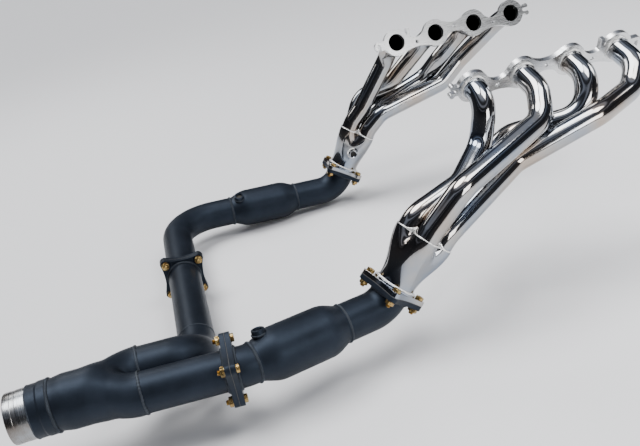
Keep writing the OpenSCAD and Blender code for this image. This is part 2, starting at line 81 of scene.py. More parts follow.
NECK = {"left": Vector((-330, -146, -336)), "right": Vector((400, -278, -292))}
FLOW = {"left": unit(0, -0.56, -0.83), "right": unit(0.07, -0.69, -0.72)}
SOCKET_TURN = {"left": (160, 250, 340, 70), "right": (209, 119, 299, 29)}
NECK_BOLTS = {"left": 53, "right": 29}
HEADER_BUNG = {"left": 100, "right": 280}
PORT_LEAD = {"left": (45, 58, 59, 52), "right": (50, 60, 58, 66)}
SOCKET_LEAD = {"left": (35, 38, 35, 32), "right": (39, 30, 48, 36)}
CORNERS = {
    "left": (
        ((-314, 23, -58), (-315, -70, -179)),
        ((-330, 34, -131), (-381, -50, -168)),
        ((-314, 179, -94), (-349, 144, -148), (-359, -14, -204)),
        ((-310, 234, -117), (-303, 174, -163), (-297, -22, -201)),
    ),
    "right": (
        ((301, -25, -104), (360, -102, -144)),
        ((342, 90, -69), (420, -128, -123)),
        ((330, 200, -91), (260, 55, -120), (256, -50, -232)),
        ((330, 305, -65), (371, 200, -80), (343, 26, -141)),
    ),
}
FIRST_CORNER = {"left": 74, "right": 54}
SECOND_CORNER = {"left": Vector((-330, -656, -364)), "right": Vector((463, -598, -317))}
FIRST_BEND = {"left": 72, "right": 60}
SECOND_BEND = {"left": 114, "right": 76}
CAT_START = {"left": 118, "right": 88}
JOINT_DIR = {"left": unit(1, -0.033, 0), "right": unit(-14, -160, 3)}
JOINT_AT = {"left": 305, "right": 28}
JOINT_BOLTS = {"left": 40, "right": 36}
CAT_BUNG = {"left": 155, "right": 195}
CROSS_LEN = 592
CROSS_END = SECOND_CORNER["left"] + CROSS_LEN * JOINT_DIR["left"]
# The formed elbow climbs more sharply than the CAD model's plain bends
ELBOW_CORNERS = (Vector((328, -678, -366)), Vector((371, -690, -323)))
ELBOW_MOUTH = Vector((362.4, SEAM_Y - 6, -322))
MERGE_NECK, MERGE_NECK_R = Vector((425, -884, -297)), 51
OUTLET = Vector((425, -936, -294))


# ---------------------------------------------------------------- materials

def shader(name, metallic, roughness, colour):
    """A new material with its shader, and small helpers to add nodes to it."""
    mat = bpy.data.materials.new(name)
    mat.use_nodes = True
    tree = mat.node_tree
    bsdf = tree.nodes["Principled BSDF"]
    bsdf.inputs["Metallic"].default_value = metallic
    bsdf.inputs["Roughness"].default_value = roughness
    bsdf.inputs["Base Color"].default_value = (*colour, 1)
    return mat, tree, bsdf


def place(tree, attribute=None, scale=(1, 1, 1)):
    """Coordinates in metres: the object's own, or the along-the-tube ones in an attribute."""
    if attribute:
        source = tree.nodes.new("ShaderNodeAttribute")
        source.attribute_name = attribute
        out = source.outputs["Vector"]
    else:
        source = tree.nodes.new("ShaderNodeTexCoord")
        out = source.outputs["Object"]
    mapping = tree.nodes.new("ShaderNodeMapping")
    mapping.inputs["Scale"].default_value = scale
    tree.links.new(out, mapping.inputs["Vector"])
    return mapping.outputs["Vector"]


def grain(tree, vector, scale, detail=4, rough=0.55):
    """A noise factor over the coordinates given."""
    node = tree.nodes.new("ShaderNodeTexNoise")
    node.inputs["Scale"].default_value = scale
    node.inputs["Detail"].default_value = detail
    node.inputs["Roughness"].default_value = rough
    tree.links.new(vector, node.inputs["Vector"])
    return node.outputs["Fac"]


def ramp(tree, fac, *stops):
    """A colour for a factor, from (position, colour) stops."""
    node = tree.nodes.new("ShaderNodeValToRGB")
    node.color_ramp.elements[0].position = stops[0][0]
    node.color_ramp.elements[0].color = (*stops[0][1], 1)
    node.color_ramp.elements[1].position = stops[-1][0]
    node.color_ramp.elements[1].color = (*stops[-1][1], 1)
    for at, colour in stops[1:-1]:
        node.color_ramp.elements.new(at).color = (*colour, 1)
    tree.links.new(fac, node.inputs["Fac"])
    return node.outputs["Color"]


def span(tree, fac, low, high):
    """Maps a noise factor's usual range to low .. high."""
    node = tree.nodes.new("ShaderNodeMapRange")
    node.inputs["From Min"].default_value = 0.3
    node.inputs["From Max"].default_value = 0.7
    node.inputs["To Min"].default_value = low
    node.inputs["To Max"].default_value = high
    tree.links.new(fac, node.inputs["Value"])
    return node.outputs["Result"]


def bump(tree, bsdf, *layers):
    """Stacks bump layers of (height, strength, distance in metres)."""
    normal = None
    for height, strength, distance in layers:
        node = tree.nodes.new("ShaderNodeBump")
        node.inputs["Strength"].default_value = strength
        node.inputs["Distance"].default_value = distance
        tree.links.new(height, node.inputs["Height"])
        if normal:
            tree.links.new(normal, node.inputs["Normal"])
        normal = node.outputs["Normal"]
    tree.links.new(normal, bsdf.inputs["Normal"])


def polished_material():
    """Mirror-polished stainless: fine lines along the tube, faint warm and cold tints."""
    mat, tree, bsdf = shader("polished_stainless", 1.0, 0.07, (0.36, 0.36, 0.37))
    lines = grain(tree, place(tree, "flow", (420, 420, 5)), 1.0, 6, 0.7)
    patches = grain(tree, place(tree), 9, 3)
    tint = ramp(tree, patches, (0.3, (0.25, 0.30, 0.38)), (0.5, (0.37, 0.37, 0.37)),
                (0.7, (0.40, 0.34, 0.29)))
    tree.links.new(tint, bsdf.inputs["Base Color"])
    tree.links.new(span(tree, lines, 0.03, 0.15), bsdf.inputs["Roughness"])
    bump(tree, bsdf, (lines, 0.10, 0.0002), (grain(tree, place(tree), 28, 2), 0.05, 0.002))
    return mat


def plate_material():
    """Machined stainless plate with a fine brushed grain along the bank."""
    mat, tree, bsdf = shader("flange_stainless", 1.0, 0.25, (0.72, 0.72, 0.72))
    brushed = grain(tree, place(tree, None, (500, 14, 500)), 1.0, 6, 0.7)
    patches = grain(tree, place(tree), 22, 4)
    tree.links.new(ramp(tree, patches, (0.3, (0.60, 0.61, 0.62)), (0.7, (0.74, 0.74, 0.74))),
                   bsdf.inputs["Base Color"])
    tree.links.new(span(tree, brushed, 0.22, 0.34), bsdf.inputs["Roughness"])
    bump(tree, bsdf, (brushed, 0.03, 0.0002))
    return mat


def weld_material():
    """Bright weld metal with a soft straw and blue temper colour in places."""
    mat, tree, bsdf = shader("bright_weld", 1.0, 0.3, (0.9, 0.9, 0.9))
    temper = grain(tree, place(tree), 60, 4)
    tree.links.new(ramp(tree, temper, (0.3, (0.93, 0.93, 0.93)), (0.62, (0.88, 0.87, 0.84)),
                        (0.78, (0.72, 0.66, 0.60))), bsdf.inputs["Base Color"])
    tree.links.new(span(tree, temper, 0.2, 0.42), bsdf.inputs["Roughness"])
    bump(tree, bsdf, (grain(tree, place(tree), 700, 3), 0.3, 0.0003))
    return mat


def coating_material(name, dark, pale):
    """Satin black ceramic coating: slate cast, fine speckle and dust."""
    mat, tree, bsdf = shader(name, 0.0, 0.45, dark)
    clouds = grain(tree, place(tree), 14, 5, 0.6)
    speckle = grain(tree, place(tree), 900, 3, 0.6)
    tree.links.new(ramp(tree, clouds, (0.32, dark), (0.68, pale)), bsdf.inputs["Base Color"])
    tree.links.new(span(tree, speckle, 0.36, 0.56), bsdf.inputs["Roughness"])
    bsdf.inputs["Specular IOR Level"].default_value = 0.3
    bsdf.inputs["Specular Tint"].default_value = (0.55, 0.72, 1.0, 1)
    bump(tree, bsdf, (speckle, 0.22, 0.0004), (grain(tree, place(tree), 45, 3), 0.08, 0.002))
    return mat


def zinc_material():
    """Yellow zinc plating: gold with rosy and greenish drifts, and darker patches at random."""
    mat, tree, bsdf = shader("yellow_zinc", 1.0, 0.25, (0.46, 0.31, 0.12))
    drift = grain(tree, place(tree), 120, 4)
    tree.links.new(ramp(tree, drift, (0.3, (0.26, 0.15, 0.05)), (0.5, (0.46, 0.31, 0.12)),
                        (0.7, (0.36, 0.30, 0.14))), bsdf.inputs["Base Color"])
    tree.links.new(span(tree, grain(tree, place(tree), 900, 3), 0.16, 0.36), bsdf.inputs["Roughness"])
    bump(tree, bsdf, (drift, 0.05, 0.0005))
    return mat


def sleeve_material():
    """Drawn stainless with turning lines round it and brown heat stains."""
    mat, tree, bsdf = shader("bare_stainless", 1.0, 0.3, (0.55, 0.56, 0.57))
    turned = grain(tree, place(tree, "flow", (8, 8, 900)), 1.0, 5, 0.7)
    stain = grain(tree, place(tree), 17, 4)
    tree.links.new(ramp(tree, stain, (0.32, (0.12, 0.09, 0.07)), (0.5, (0.22, 0.21, 0.20)),
                        (0.68, (0.33, 0.35, 0.37))), bsdf.inputs["Base Color"])
    tree.links.new(span(tree, turned, 0.16, 0.4), bsdf.inputs["Roughness"])
    bump(tree, bsdf, (turned, 0.1, 0.0002))
    return mat


def plain_material(name, dark, pale, scale, roughness):
    """A matt material with a grain of two colours."""
    mat, tree, bsdf = shader(name, 0.0, roughness, dark)
    fibres = grain(tree, place(tree), scale, 5)
    tree.links.new(ramp(tree, fibres, (0.3, dark), (0.7, pale)), bsdf.inputs["Base Color"])
    bump(tree, bsdf, (fibres, 0.3, 0.0005))
    return mat


MATERIALS = {
    "polished_stainless": polished_material(),
    "flange_stainless": plate_material(),
    "bright_weld": weld_material(),
    "black_coating": coating_material("black_coating", (0.004, 0.005, 0.007), (0.011, 0.014, 0.020)),
    "yellow_zinc": zinc_material(),
    "bare_stainless": sleeve_material(),
    "gasket_composite": plain_material(
        "gasket_composite", (0.03, 0.03, 0.032), (0.08, 0.08, 0.08), 400, 0.7),
    "catalyst_ceramic": plain_material(
        "catalyst_ceramic", (0.36, 0.27, 0.17), (0.50, 0.40, 0.28), 300, 0.85),
    "mounting_mat": plain_material(
        "mounting_mat", (0.62, 0.62, 0.58), (0.80, 0.80, 0.76), 700, 0.95),
}
BLACK_WELD = coating_material("black_weld", (0.014, 0.016, 0.019), (0.050, 0.055, 0.062))
# Near-black material for the discs of painted shade in bores and screw sockets
PAINTED_HOLE_SHADE = plain_material("socket_shadow", (0.006, 0.006, 0.006), (0.02, 0.018, 0.015), 500, 0.6)


# ------------------------------------------------------------ mesh building

def frame_at(point, along, turned=0):
    """Matrix in metres: +Z along a direction, +Y level, turned about +Z in degrees."""
    z = along.normalized()
    y = Vector((-z.y, z.x, 0)).normalized()
    x = y.cross(z)
    m = Matrix((x, y, z)).transposed().to_4x4()
    m.translation = Vector(point) * MM
    return m @ Matrix.Rotation(radians(turned), 4, "Z")


def make(name, verts, faces, slot, replaces=(), material=None, flow=None, sharp=35):
    """A piece from a mesh in metres. flow holds along-the-tube coordinates for its grain."""
    mesh = bpy.data.meshes.new(name)
    mesh.from_pydata([tuple(v) for v in verts], [], faces)
    mesh.validate()
    mesh.shade_smooth()
    mesh.set_sharp_from_angle(angle=radians(sharp))
    if flow is not None:
        data = mesh.attributes.new("flow", "FLOAT_VECTOR", "POINT").data
        for item, value in zip(data, flow):
            item.vector = value
    return finished(bpy.data.objects.new(name, mesh), slot, replaces, material)


def finished(obj, slot, replaces=(), material=None):
    bpy.context.scene.collection.objects.link(obj)
    obj.data.materials.clear()
    obj.data.materials.append(material or MATERIALS[slot])
    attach(obj, "root")
    if replaces:
        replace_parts(obj, *replaces)
    return obj


def ring_faces(rings, n, start=0, flip=False, close=False):
    """Quads between rings of n points each; close joins the last ring to the first."""
    faces = []
    for i in range(rings if close else rings - 1):
        a, b = start + i * n, start + ((i + 1) % rings) * n
        for j in range(n):
            k = (j + 1) % n
            quad = (a + j, a + k, b + k, b + j)
            faces.append(quad[::-1] if flip else quad)
    return faces


def shell_faces(n, around):
    """Faces of a hollow shell: n outer rings, then n inner rings, joined by a rim at each end."""
    faces = ring_faces(n, around) + ring_faces(n, around, n * around, flip=True)
    for ring, flip in ((0, True), (n - 1, False)):
        a, b = ring * around, (n + ring) * around
        for j in range(around):
            k = (j + 1) % around
            quad = (a + j, a + k, b + k, b + j)
            faces.append(quad[::-1] if flip else quad)
    return faces


def route(points, bend):
    """Centre line with arcs of radius bend at the corners: (point, direction) pairs, in mm."""
    arc_step, longest_gap, straight_step = radians(4), 24, 16
    pts = [Vector(p) for p in points]
    out = [(pts[0], (pts[1] - pts[0]).normalized())]
    for a, p, b in zip(pts, pts[1:], pts[2:]):
        u, v = (p - a).normalized(), (b - p).normalized()
        t = u.angle(v)
        w = (v - u * u.dot(v)).normalized()
        centre = p - u * bend * tan(t / 2) + w * bend
        n = max(2, ceil(t / arc_step))
        for i in range(n + 1):
            f = t * i / n
            out.append((centre + bend * (sin(f) * u - cos(f) * w), cos(f) * u + sin(f) * w))
    out.append((pts[-1], (pts[-1] - pts[-2]).normalized()))
    filled = [out[0]]
    for p, d in out[1:]:
        gap = (p - filled[-1][0]).length
        if gap > longest_gap:
            n = ceil(gap / straight_step)
            q = filled[-1][0]
            filled += [(q.lerp(p, k / n), d) for k in range(1, n)]
        filled.append((p, d))
    return filled


def tube(name, points, bend, r, wall, slot, replaces=(), around=64, swell=None, clip_y=None):
    """A hollow swept tube. swell gives extra radius at a distance along it, in mm."""
    path = route(points, bend)
    normal = path[0][1].orthogonal().normalized()
    outer, inner, flow_out, flow_in = [], [], [], []
    length, last = 0, path[0][0]
    for p, d in path:
        normal = (normal - d * normal.dot(d)).normalized()
        side = d.cross(normal)
        length += (p - last).length
        last = p
        grow = swell(length) if swell else 0
        for j in range(around):
            a = 2 * pi * j / around
            spoke = cos(a) * normal + sin(a) * side
            for rad, verts, flow in ((r + grow, outer, flow_out), (r - wall + grow, inner, flow_in)):
                v = p + rad * spoke
                if clip_y is not None and v.y < clip_y:
                    v = v + d * ((clip_y - v.y) / d.y)
                verts.append(v * MM)
                flow.append((cos(a) * rad * MM, sin(a) * rad * MM, length * MM))
    return make(name, outer + inner, shell_faces(len(path), around), slot, replaces,
                flow=flow_out + flow_in)


def lathe(name, place_at, profile, slot, replaces=(), around=96, closed=True, sharp=35):
    """A turned piece: profile is (radius, z) in mm, in order round its section."""
    verts, flow = [], []
    for r, z in profile:
        for j in range(around):
            a = 2 * pi * j / around
            verts.append(place_at @ (Vector((r * cos(a), r * sin(a), z)) * MM))
            flow.append((cos(a) * r * MM, sin(a) * r * MM, z * MM))
    faces = ring_faces(len(profile), around, close=closed)
    return make(name, verts, faces, slot, replaces, flow=flow, sharp=sharp)


def bead(name, place_at, r, size, slot, material=None, seed=0):
    """A weld bead round radius r at z = 0: overlapping puddles, slightly uneven."""
    pitch = max(2.2, size * 0.9)
    puddles = max(24, round(2 * pi * r / pitch))
    around, across = puddles * 6, 10
    verts = []
    for i in range(around):
        a = 2 * pi * i / around
        phase = (a * puddles / (2 * pi)) % 1
        drift = noise.noise(Vector((cos(a) * 3, sin(a) * 3, seed * 7.3)))
        fat = size * (1 - 0.22 * (2 * phase - 1) ** 2 + 0.18 * drift)
        lean = 0.35 * pitch / r
        for j in range(across):
            b = 2 * pi * j / across
            aa = a + lean * cos(b) * 0.6
            rr = r + fat * sin(b)
            zz = fat * cos(b) * 1.15 + 0.25 * size * drift
            verts.append(place_at @ (Vector((rr * cos(aa), rr * sin(aa), zz)) * MM))
    faces = ring_faces(around, across, close=True, flip=True)
    return make(name, verts, faces, slot, material=material, sharp=60)


def eased(node, slot, width=0.7):
    """The CAD node's own shape with its sharp edges rounded over."""
    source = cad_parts[node]
    mesh = source.data.copy()
    mesh.name = node + "_eased"
    bm = bmesh.new()
    bm.from_mesh(mesh)
    bmesh.ops.remove_doubles(bm, verts=bm.verts, dist=1e-6)
    bmesh.ops.dissolve_limit(bm, angle_limit=radians(0.5), verts=bm.verts, edges=bm.edges)
    bm.to_mesh(mesh)
    bm.free()
    mesh.shade_smooth()
    mesh.set_sharp_from_angle(angle=radians(30))
    obj = bpy.data.objects.new(node + "_eased", mesh)
    finished(obj, slot, (node,))
    mod = obj.modifiers.new("edges", "BEVEL")
    mod.width = width * MM
    mod.segments = 2
    mod.limit_method = "ANGLE"
    mod.angle_limit = radians(35)
    mod.harden_normals = True


def join(name, objects):
    """Joins pieces of one kind into one object that replaces what they all replace."""
    bpy.ops.object.select_all(action="DESELECT")
    for obj in objects:
        obj.select_set(True)
    bpy.context.view_layer.objects.active = objects[0]
    bpy.ops.object.join()
    objects[0].name = name
    return objects[0]


# ------------------------------------------------------------------ headers

def port(bank, k):
    return Vector((SIDE[bank] * HALF_SPAN, BANK_Y[bank] + k * PITCH, 0))


def port_out(bank):
    return Vector((SIDE[bank] * cos(TILT), 0, -sin(TILT)))


def around_flow(direction, degrees_round):
    level = Vector((-direction.y, direction.x, 0)).normalized()
    drop = level.cross(direction)
    return cos(radians(degrees_round)) * drop + sin(radians(degrees_round)) * level


def socket(bank, k):
    return NECK[bank] - COLLECTOR_LEN * FLOW[bank] + SPREAD * around_flow(FLOW[bank], SOCKET_TURN[bank][k])


def primary_tubes(bank):
    for k in range(4):
        start = port(bank, k) + PLATE * port_out(bank)
        end = socket(bank, k)
        points = [start, start + PORT_LEAD[bank][k] * port_out(bank), *CORNERS[bank][k],
                  end - SOCKET_LEAD[bank][k] * FLOW[bank], end]
        node = f"{bank}_primary_tube_{k + 1}"
        tube(node + "_swept", points, TUBE_BEND, TUBE_R, TUBE_WALL, "polished_stainless", (node,))


def port_welds(bank):
    """Two fine rings at each port: the bead on the flange and the seam of the tube's foot."""
    beads = []
    for k in range(4):
        foot = port(bank, k) + PLATE * port_out(bank)
        at = frame_at(foot + 1.2 * port_out(bank), port_out(bank))
        beads.append(bead(f"{bank}_port_bead_{k + 1}", at, TUBE_R + 0.6, 2.9, "bright_weld", seed=k))
    obj = join(f"{bank}_port_beads", beads)
    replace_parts(obj, f"{bank}_port_welds")
    for k in range(4):
        at = frame_at(port(bank, k) + PLATE * port_out(bank), port_out(bank))
        lathe(f"{bank}_port_foot_{k + 1}", at,
              [(TUBE_R, 3), (TUBE_R + 1.1, 3.6), (TUBE_R + 1.5, 5), (TUBE_R + 1.5, 6.4), (TUBE_R + 1.1, 7.8),
               (TUBE_R, 8.4)], "polished_stainless", sharp=60)


def collector_section(bank, z):
    """Outline radius of the collector at height z, as a function of the angle round it."""
    top = -COLLECTOR_LEN - CUP
    t = min(1, max(0, (z - top) / (NECK_Z - top)))
    ease = t * t * (3 - 2 * t)
    cup = TUBE_R + 1.8
    spread = SPREAD * (1 - ease)
    lobe = cup + (PIPE_R - cup) * ease
    fill = min(1, t * 2.6)

    def radius(a):
        best = 0
        for s in SOCKET_TURN[bank]:
            f = a - radians(s)
            under = lobe ** 2 - (spread * sin(f)) ** 2
            if under > 0:
                best = max(best, spread * cos(f) + sqrt(under))
        off = (a - radians(SOCKET_TURN[bank][0])) % (pi / 2) - pi / 4
        flat = (spread / sqrt(2) + lobe) / cos(off)
        return best + max(0, min(flat, spread + lobe) - best) * fill

    return radius


def collector(bank):
    """Formed merge collector: four cups that blend into flat-sided cone and a round neck."""
    around = 128
    stations = [-COLLECTOR_LEN - CUP + i * (COLLECTOR_LEN + CUP) / 36 for i in range(37)]
    at = frame_at(NECK[bank], FLOW[bank])
    verts, flow = [], []
    for shell in (0, -WALL):
        for z in stations:
            radius = collector_section(bank, z)
            for j in range(around):
                a = 2 * pi * j / around
                r = radius(a) + shell
                verts.append(at @ (Vector((r * cos(a), r * sin(a), z)) * MM))
                flow.append((r * cos(a) * MM, r * sin(a) * MM, z * MM))
    node = f"{bank}_merge_collector"
    make(node + "_formed", verts, shell_faces(len(stations), around), "polished_stainless", (node,),
         flow=flow, sharp=50)


def collector_weld(bank):
    """Bead that follows the collector's scalloped lip, with filler in the valleys."""
    top = -COLLECTOR_LEN - CUP
    radius = collector_section(bank, top)
    at = frame_at(NECK[bank], FLOW[bank])
    around, across = 420, 10
    verts = []
    for i in range(around):
        a = 2 * pi * i / around
        off = (a - radians(SOCKET_TURN[bank][0])) % (pi / 2)
        valley = max(0, 1 - abs(off - pi / 4) / 0.30) ** 1.5
        puddle = 1 - 0.2 * (2 * ((i / 6) % 1) - 1) ** 2
        fat = (1.9 + 2.6 * valley) * puddle + 0.4 * noise.noise(Vector((cos(a) * 4, sin(a) * 4, 1.5)))
        for j in range(across):
            b = 2 * pi * j / across
            r = radius(a) - 1.2 + fat * sin(b) * 0.8 + 0.6 * valley
            z = top - 0.3 - 4.5 * valley + fat * cos(b) * (1 + 1.2 * valley)
            verts.append(at @ (Vector((r * cos(a), r * sin(a), z)) * MM))
    make(f"{bank}_collector_bead", verts, ring_faces(around, across, close=True, flip=True),
         "bright_weld", (f"{bank}_collector_weld",), sharp=60)
    # Filler plug in the gap between the four tubes
    plug = [(0.01, top + 2), (6, top + 1.5), (9.5, top - 1), (9.8, top - 3), (6, top - 4.2),
            (0.01, top - 4.6)]
    lathe(f"{bank}_merge_plug", at, plug, "bright_weld", around=32, closed=False)


def neck_ring(bank):
    """Weld bead between the collector's neck and the flange's raised ring."""
    bead(f"{bank}_neck_bead", frame_at(NECK[bank] - 0.6 * FLOW[bank], FLOW[bank]), PIPE_R + 0.4, 2.0,
         "bright_weld", seed=5)


def dark_disc(name, at, r, z, slot):
    """A dark disc of painted shade, set where the unlit bottom of a hole would be."""
    disc = [at @ (Vector((r * cos(pi * j / 12), r * sin(pi * j / 12), z)) * MM) for j in range(24)]
    return make(name, disc, [tuple(range(24))], slot, material=PAINTED_HOLE_SHADE)


def threaded_boss(name, node, base, axis, slot):
    """Sensor boss: chamfered body, threaded bore and a seat face, with a disc of painted shade down the bore.
    """
    at = frame_at(base, axis)
    thread = []
    z = BUNG_H - 1.2
    while z > 1.2:
        thread += [(BUNG_THREAD_R, z), (BUNG_THREAD_R + 0.75, z - 0.75)]
        z -= 1.5
    profile = [(BUNG_R, 0), (BUNG_R, BUNG_H - 2), (BUNG_R - 0.6, BUNG_H - 0.6), (BUNG_R - 1.6, BUNG_H),
               (BUNG_THREAD_R + 1.6, BUNG_H), *thread, (BUNG_THREAD_R + 0.5, 0)]
    lathe(name, at, profile, slot, (node,), around=72)
    # Dark disc of painted shade standing for the unlit depth of the bore
    dark_disc(name + "_painted_bore_shade", at, BUNG_THREAD_R + 0.6, BUNG_H - 6, slot)


# ------------------------------------------------------------------- joints

def cap_screw(at, grip, name):
    """Socket-head screw: knurled head on z < 0, threaded shank along +z, hexagon socket that fasten darkens
    with a disc of painted shade.
    """
    head_r, head_h, socket_r, depth = 8.0, 6.5, 4.3, 4.5
    around = 48
    shank = 4.95
    end = grip + NUT_H + 5
    rows = [(socket_r, -head_h + depth, True), (socket_r, -head_h + 0.3, True),
            (head_r - 1.6, -head_h, False), (head_r - 0.6, -head_h + 0.3, False),
            (head_r, -head_h + 1.0, False), (head_r, -0.3, False),
            (head_r - 0.5, 0, False), (shank, 0, False), (shank, grip + 2, False)]
    z = grip + 2
    while z < end - 1.5:
        rows += [(shank - 0.62, z + 0.4, False), (shank, z + 0.8, False)]
        z += 0.9
    rows += [(shank - 0.9, end, False), (0.01, end, False)]
    verts, faces = [], []
    for r, z, hexagon in rows:
        for j in range(around):
            a = 2 * pi * j / around
            rr = r
            if hexagon:
                f = (a % (pi / 3)) - pi / 6
                rr = r * cos(pi / 6) / cos(f)
            elif abs(r - head_r) < 0.01:
                rr = r + 0.12 * cos(24 * a)
            verts.append(at @ (Vector((rr * cos(a), rr * sin(a), z)) * MM))
    faces = ring_faces(len(rows), around)
    faces.append(tuple(reversed(range(around))))
    return make(name, verts, faces, "yellow_zinc", sharp=30)


def hex_nut(at, name):
    """Nut with chamfered corners and a flange washer face."""
    around = 48
    flats, bore = 17.0, 5.0
    corner = flats / 2 / cos(pi / 6)
    rows = ((0, 9.2), (0.8, 9.2), (0.9, 8.4), (1.4, corner), (NUT_H - 1.6, corner), (NUT_H - 0.5, 8.9),
            (NUT_H, 8.0))
    verts = []
    for z, cap in rows:
        for j in range(around):
            a = 2 * pi * j / around
            f = (a % (pi / 3)) - pi / 6
            r = min(flats / 2 / cos(f), cap) if z > 0.85 else cap
            verts.append(at @ (Vector((r * cos(a), r * sin(a), z)) * MM))
    for r, z in ((bore + 0.8, NUT_H), (bore, NUT_H - 0.8), (bore, 0)):
        for j in range(around):
            a = 2 * pi * j / around
            verts.append(at @ (Vector((r * cos(a), r * sin(a), z)) * MM))
    faces = ring_faces(len(rows) + 3, around, close=True)
    return make(name, verts, faces, "yellow_zinc", sharp=30)


def fasten(prefix, point, along, turned, bolts_node, nuts_node):
    """Four screws and four nuts through a joint whose head side starts at point, with a disc of painted shade
    in each socket.
    """
    screws, nuts, painted_shade_discs = [], [], []
    for i in range(4):
        at = frame_at(point, along, turned + 90 * i)
        at = at @ Matrix.Translation(Vector((BOLT_CIRCLE, 0, 0)) * MM)
        at = at @ Matrix.Rotation(radians(17 * i + 5), 4, "Z")
        screws.append(cap_screw(at, JOINT, f"{prefix}_screw_{i + 1}"))
        nuts.append(hex_nut(at @ Matrix.Translation((0, 0, JOINT * MM)), f"{prefix}_nut_{i + 1}"))
        # Dark disc of painted shade at the floor of the hexagon socket
        painted_shade_discs.append(dark_disc(f"{prefix}_socket_{i + 1}", at, 4.2, -1.9, "yellow_zinc"))
    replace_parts(join(f"{prefix}_screws", screws), bolts_node)
    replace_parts(join(f"{prefix}_hex_nuts", nuts), nuts_node)
    join(f"{prefix}_socket_painted_shade", painted_shade_discs)


# -------------------------------------------------------- catalytic pipes

def corner_a(bank):
    return NECK[bank] + FIRST_CORNER[bank] * FLOW[bank]


def cat_dir(bank):
    return (SECOND_CORNER[bank] - corner_a(bank)).normalized()


def joint_point(bank):
    return SECOND_CORNER[bank] + JOINT_AT[bank] * JOINT_DIR[bank]


def rounded(points, radius, n=6):
    """A polyline of (r, z) with its inner corners eased over about the radius given, in n steps."""
    out = [points[0]]
    for a, p, b in zip(points, points[1:], points[2:]):
        a, p, b = Vector(a), Vector(p), Vector(b)
        cut = min(radius, (p - a).length * 0.45, (b - p).length * 0.45)
        s, e = p + (a - p).normalized() * cut, p + (b - p).normalized() * cut
        for i in range(n + 1):
            f = i / n
            out.append(tuple(s * (1 - f) ** 2 + p * 2 * f * (1 - f) + e * f ** 2))
    out.append(points[-1])
    return out


def cat_pipe(bank):
    start = NECK[bank] + (RING + JOINT) * FLOW[bank]
    front = corner_a(bank) + CAT_START[bank] * cat_dir(bank)
    total = CAT_FRONT + CAT_LEN + CAT_REAR
    back = front + total * cat_dir(bank)
    end = joint_point(bank) - (GASKET / 2 + FLANGE) * JOINT_DIR[bank]
    tube(f"{bank}_cat_inlet_swept", [start, corner_a(bank), front], FIRST_BEND[bank], PIPE_R, WALL,
         "black_coating", (f"{bank}_cat_inlet_pipe",), around=96)
    tube(f"{bank}_cat_outlet_swept", [back, SECOND_CORNER[bank], end], SECOND_BEND[bank], PIPE_R, WALL,
         "black_coating", (f"{bank}_cat_outlet_pipe",), around=96)
    z1, z2 = CAT_FRONT, CAT_FRONT + CAT_LEN
    outer = rounded([(PIPE_R, 0), (PIPE_R, 5), (CAT_R, z1), (CAT_R, z2), (PIPE_R, total - 5),
                     (PIPE_R, total)], 13)
    inner = [(r - 1.5, z) for r, z in reversed(outer)]
    at = frame_at(front, cat_dir(bank))
    lathe(f"{bank}_cat_shell_spun", at, outer + inner, "black_coating", (f"{bank}_cat_shell",), around=112)
    turn_dir = around_flow(cat_dir(bank), CAT_BUNG[bank])
    boss = front + (z2 + CAT_REAR / 2 - 6) * cat_dir(bank) + (CAT_R - 8) * turn_dir
    threaded_boss(f"{bank}_cat_boss", f"{bank}_cat_o2_bung", boss, turn_dir, "black_coating")
    bead(f"{bank}_cat_boss_bead", frame_at(boss + 3.6 * turn_dir, turn_dir), BUNG_R + 0.4, 1.8,
         "black_coating", BLACK_WELD, seed=9)
    beads = [
        bead(f"{bank}_bead_a", frame_at(start + 0.8 * FLOW[bank], FLOW[bank]), PIPE_R + 0.8, 2.8,
             "black_coating", BLACK_WELD, seed=1),
        bead(f"{bank}_bead_b", frame_at(front, cat_dir(bank)), PIPE_R - 0.2, 2.2,
             "black_coating", BLACK_WELD, seed=2),
        bead(f"{bank}_bead_c", frame_at(back, cat_dir(bank)), PIPE_R - 0.2, 2.6,
             "black_coating", BLACK_WELD, seed=3),
        bead(f"{bank}_bead_d", frame_at(end - 0.8 * JOINT_DIR[bank], JOINT_DIR[bank]), PIPE_R + 0.8, 2.8,
             "black_coating", BLACK_WELD, seed=4),
    ]
    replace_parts(join(f"{bank}_cat_beads", beads), f"{bank}_cat_welds")


# -------------------------------------------------------------------- Y pipe

def inlet_at_seam():
    p, d = joint_point("right"), JOINT_DIR["right"]
    return p + d * ((SEAM_Y - p.y) / d.y)


def two_lobes(t):
    """Centres and radii of the merge body's two lobes, from the seam (0) to the neck (1)."""
    s = t * t * (3 - 2 * t)
    seam = inlet_at_seam()
    a = Vector((ELBOW_MOUTH.x, ELBOW_MOUTH.z)).lerp(Vector((MERGE_NECK.x, MERGE_NECK.z)), s)
    b = Vector((seam.x, seam.z)).lerp(Vector((MERGE_NECK.x, MERGE_NECK.z)), s)
    ra, rb = ELBOW_R + 1.6, PIPE_R + 1.6
    return a, ra + (MERGE_NECK_R - ra) * s, b, rb + (MERGE_NECK_R - rb) * s


def merge_outline(t, count):
    """Points of the merge body's section: two circles with a crease that softens along it."""
    a, ra, b, rb = two_lobes(t)
    mid = (a + b) / 2
    soft = 0.8 + 60 * t
    settle = (t * t * (3 - 2 * t)) ** 2
    pts = []
    for j in range(count):
        th = 2 * pi * j / count
        u = Vector((cos(th), sin(th)))
        hits = []
        for c, r in ((a - mid, ra), (b - mid, rb)):
            cross = c.x * u.y - c.y * u.x
            under = r * r - cross * cross
            hits.append(c.dot(u) + sqrt(under) if under > 0 else -1e3)
        h = max(0.0, soft - abs(hits[0] - hits[1])) / soft
        pts.append(mid + u * (max(hits) + (h * h - settle) * soft / 4))
    return pts


